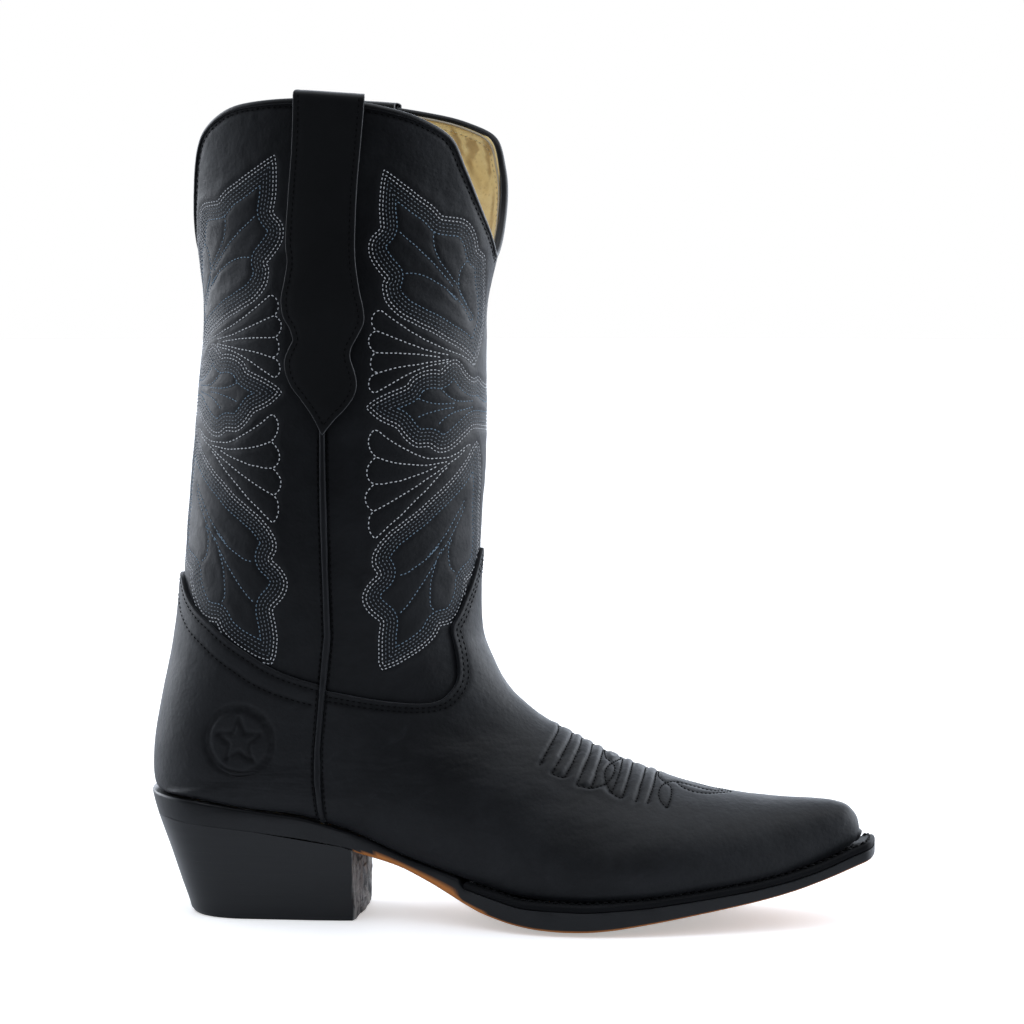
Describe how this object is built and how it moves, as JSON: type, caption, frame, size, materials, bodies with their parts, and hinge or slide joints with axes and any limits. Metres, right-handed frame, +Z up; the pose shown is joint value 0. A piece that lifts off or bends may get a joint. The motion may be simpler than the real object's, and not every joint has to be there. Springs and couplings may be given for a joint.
{
  "type": "cowboy boot",
  "caption": "Right-foot western boot with a scalloped stitched shaft, side pull straps, pointed snip toe, welted leather sole and slanted stacked heel.",
  "frame": {"origin": "centre of the heel's flat ground face, on the boot's long axis", "axes": "+X towards the toe, +Y towards the inner (medial) side of this right boot, +Z up; the ground is z = 0"},
  "size_m": [0.3098, 0.103, 0.3506],
  "materials": {
    "upper_leather": "matte waxed black leather, fine grain",
    "strap_leather": "matte black leather strip with raw light edges",
    "binding_leather": "smooth black edge binding",
    "lining_leather": "soft wrinkled golden lining leather",
    "stiffener_board": "pressed leather board",
    "insole_leather": "natural insole leather",
    "seat_pad": "thin foam pad faced with lining leather",
    "cork_filler": "ground cork",
    "shank_steel": "tempered steel strip",
    "welt_leather": "black dyed welt",
    "sole_leather": "orange-tan sole leather, black dyed edge",
    "heel_stack": "stacked leather, black dyed and polished",
    "top_lift_rubber": "black rubber",
    "nail_brass": "drawn brass nail",
    "peg_wood": "lemonwood peg"
  },
  "bodies": {
    "foot": {"bottom_filler_cork": "cork_filler", "counter_cover": "upper_leather", "heel_counter_stiffener": "stiffener_board", "heel_lift_1": "heel_stack", "heel_lift_2": "heel_stack", "heel_lift_3": "heel_stack", "heel_lift_4": "heel_stack", "heel_lining": "lining_leather", "heel_nail_1": "nail_brass", "heel_nail_2": "nail_brass", "heel_nail_3": "nail_brass", "heel_nail_4": "nail_brass", "heel_nail_5": "nail_brass", "heel_seat_pad": "seat_pad", "heel_top_lift": "top_lift_rubber", "heel_wedge": "heel_stack", "insole": "insole_leather", "outsole": "sole_leather", "shank_steel": "shank_steel", "side_welt_lateral_lower": "upper_leather", "side_welt_medial_lower": "upper_leather", "toe_box": "stiffener_board", "top_lift_brad_1": "nail_brass", "top_lift_brad_2": "nail_brass", "top_lift_brad_3": "nail_brass", "top_lift_brad_4": "nail_brass", "top_lift_brad_5": "nail_brass", "vamp": "upper_leather", "vamp_lining": "lining_leather", "waist_peg_lateral_1": "peg_wood", "waist_peg_lateral_2": "peg_wood", "waist_peg_lateral_3": "peg_wood", "waist_peg_medial_1": "peg_wood", "waist_peg_medial_2": "peg_wood", "waist_peg_medial_3": "peg_wood", "welt": "welt_leather"},
    "shaft": {"pull_strap_lateral_backing": "strap_leather", "pull_strap_lateral_facing": "strap_leather", "pull_strap_medial_backing": "strap_leather", "pull_strap_medial_facing": "strap_leather", "shaft_lining_back": "lining_leather", "shaft_lining_front": "lining_leather", "shaft_panel_back": "upper_leather", "shaft_panel_front": "upper_leather", "side_welt_lateral_upper": "upper_leather", "side_welt_medial_upper": "upper_leather", "top_bead_back": "binding_leather", "top_bead_front": "binding_leather"}
  },
  "joints": [
    {"name": "ankle_flex", "type": "hinge", "parent": "foot", "child": "shaft", "pos_m": [0.015, 0, 0.112], "axis": [0, 1, 0], "range_deg": [-8, 12], "stiffness_Nm_per_rad": 12, "deforming": ["vamp", "counter_cover", "side_welt_lateral_lower", "side_welt_medial_lower"]}
  ]
}
